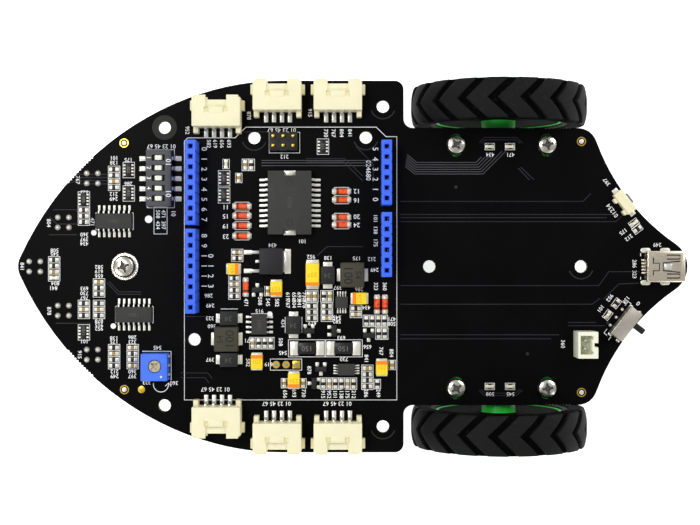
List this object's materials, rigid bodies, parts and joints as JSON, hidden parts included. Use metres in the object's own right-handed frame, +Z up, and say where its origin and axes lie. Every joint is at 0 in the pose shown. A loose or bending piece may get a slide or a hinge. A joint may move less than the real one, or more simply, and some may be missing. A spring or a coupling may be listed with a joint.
{
  "type": "line follower robot",
  "caption": "Flat pointed circuit-board deck with plug-in headers and side sockets, driven by two geared chevron-tyred wheels and steadied by a ball caster under the nose.",
  "frame": {"origin": "on the ground under the middle of the deck's length and width", "axes": "+X forward to the pointed nose, +Y to the robot's left, +Z up"},
  "size_m": [0.1686, 0.0936, 0.0449],
  "materials": {
    "deck_board": "satin solder mask over glass-fibre laminate",
    "header_nylon": "satin moulded nylon",
    "cream_nylon": "satin moulded nylon",
    "tin_plate": "tin-plated pressed steel",
    "white_nylon": "satin moulded nylon",
    "grey_plastic": "fine matt moulding",
    "black_plastic": "fine matt moulding",
    "zinc_steel": "bright zinc plate",
    "brass_plate": "machined brass",
    "polished_steel": "polished bearing steel",
    "motor_steel": "drawn nickel-plated steel",
    "tyre_rubber": "moulded rubber",
    "green_plastic": "satin moulded plastic"
  },
  "bodies": {
    "root": {"main_board": "deck_board", "header_digital_low": "header_nylon", "header_digital_high": "header_nylon", "header_analog": "header_nylon", "header_power": "header_nylon", "socket_rear_left": "cream_nylon", "socket_rear_right": "cream_nylon", "socket_middle_left": "cream_nylon", "socket_middle_right": "cream_nylon", "socket_front_left": "cream_nylon", "socket_front_right": "cream_nylon", "usb_socket": "tin_plate", "battery_socket": "white_nylon", "dip_switch_body": "grey_plastic", "trimmer_body": "header_nylon", "power_switch_body": "tin_plate", "reset_switch_body": "cream_nylon", "line_sensor_centre": "black_plastic", "line_sensor_inner_left": "black_plastic", "line_sensor_inner_right": "black_plastic", "line_sensor_outer_left": "black_plastic", "line_sensor_outer_right": "black_plastic", "caster_screw": "zinc_steel", "caster_washer": "zinc_steel", "caster_standoff": "brass_plate", "caster_housing": "black_plastic", "left_gearbox_frame": "brass_plate", "left_motor_can": "motor_steel", "left_motor_end_cap": "white_nylon", "left_motor_bracket": "green_plastic", "left_bracket_screw_front": "zinc_steel", "left_bracket_screw_rear": "zinc_steel", "right_gearbox_frame": "brass_plate", "right_motor_can": "motor_steel", "right_motor_end_cap": "white_nylon", "right_motor_bracket": "green_plastic", "right_bracket_screw_front": "zinc_steel", "right_bracket_screw_rear": "zinc_steel"},
    "left_wheel": {"left_tyre": "tyre_rubber", "left_rim": "green_plastic", "left_output_shaft": "motor_steel", "left_output_gear": "brass_plate"},
    "left_gear_cluster": {"left_cluster_gear": "brass_plate"},
    "left_rotor": {"left_motor_rotor": "motor_steel"},
    "right_wheel": {"right_tyre": "tyre_rubber", "right_rim": "green_plastic", "right_output_shaft": "motor_steel", "right_output_gear": "brass_plate"},
    "right_gear_cluster": {"right_cluster_gear": "brass_plate"},
    "right_rotor": {"right_motor_rotor": "motor_steel"},
    "caster_ball": {"caster_ball": "polished_steel"},
    "dip_slider_1": {"dip_slider_1": "white_nylon"},
    "dip_slider_2": {"dip_slider_2": "white_nylon"},
    "dip_slider_3": {"dip_slider_3": "white_nylon"},
    "dip_slider_4": {"dip_slider_4": "white_nylon"},
    "dip_slider_5": {"dip_slider_5": "white_nylon"},
    "trimmer_rotor": {"trimmer_rotor": "white_nylon"},
    "power_switch_lever": {"power_switch_lever": "black_plastic"},
    "reset_button": {"reset_button": "grey_plastic"}
  },
  "joints": [
    {"name": "left_wheel_spin", "type": "hinge", "parent": "root", "child": "left_wheel", "pos_m": [-0.03745, 0, 0.02245], "axis": [0, 1, 0], "continuous": true},
    {"name": "left_cluster_spin", "type": "hinge", "parent": "root", "child": "left_gear_cluster", "pos_m": [-0.03437, 0, 0.02245], "axis": [0, 1, 0], "continuous": true},
    {"name": "left_rotor_spin", "type": "hinge", "parent": "root", "child": "left_rotor", "pos_m": [-0.03745, 0, 0.02245], "axis": [0, 1, 0], "continuous": true},
    {"name": "right_wheel_spin", "type": "hinge", "parent": "root", "child": "right_wheel", "pos_m": [-0.03745, 0, 0.02245], "axis": [0, 1, 0], "continuous": true},
    {"name": "right_cluster_spin", "type": "hinge", "parent": "root", "child": "right_gear_cluster", "pos_m": [-0.03437, 0, 0.02245], "axis": [0, 1, 0], "continuous": true},
    {"name": "right_rotor_spin", "type": "hinge", "parent": "root", "child": "right_rotor", "pos_m": [-0.03745, 0, 0.02245], "axis": [0, 1, 0], "continuous": true},
    {"name": "caster_ball_roll", "type": "hinge", "parent": "root", "child": "caster_ball", "pos_m": [0.0573, 0, 0.006], "axis": [0, 1, 0], "continuous": true},
    {"name": "dip_slider_1_slide", "type": "slide", "parent": "root", "child": "dip_slider_1", "axis": [1, 0, 0], "range_m": [-0.0006, 0.0006]},
    {"name": "dip_slider_2_slide", "type": "slide", "parent": "root", "child": "dip_slider_2", "axis": [1, 0, 0], "range_m": [-0.0006, 0.0006]},
    {"name": "dip_slider_3_slide", "type": "slide", "parent": "root", "child": "dip_slider_3", "axis": [1, 0, 0], "range_m": [-0.0006, 0.0006]},
    {"name": "dip_slider_4_slide", "type": "slide", "parent": "root", "child": "dip_slider_4", "axis": [1, 0, 0], "range_m": [-0.0006, 0.0006]},
    {"name": "dip_slider_5_slide", "type": "slide", "parent": "root", "child": "dip_slider_5", "axis": [1, 0, 0], "range_m": [-0.0006, 0.0006]},
    {"name": "trimmer_turn", "type": "hinge", "parent": "root", "child": "trimmer_rotor", "pos_m": [0.0492, 0.0248, 0.034], "axis": [0, 0, 1], "range_deg": [-130, 130]},
    {"name": "power_switch_slide", "type": "slide", "parent": "root", "child": "power_switch_lever", "axis": [0.6088, 0.7934, 0], "range_m": [0, 0.0021]},
    {"name": "reset_button_press", "type": "slide", "parent": "root", "child": "reset_button", "axis": [0.7944, 0.6074, 0], "range_m": [0, 0.0003], "stiffness_N_per_m": 200, "springref_m": -0.0002}
  ],
  "couplings": [
    {"joint": "left_cluster_spin", "follows": "left_wheel_spin", "ratio": -2.5},
    {"joint": "left_rotor_spin", "follows": "left_wheel_spin", "ratio": 6.25},
    {"joint": "right_cluster_spin", "follows": "right_wheel_spin", "ratio": -2.5},
    {"joint": "right_rotor_spin", "follows": "right_wheel_spin", "ratio": 6.25}
  ]
}
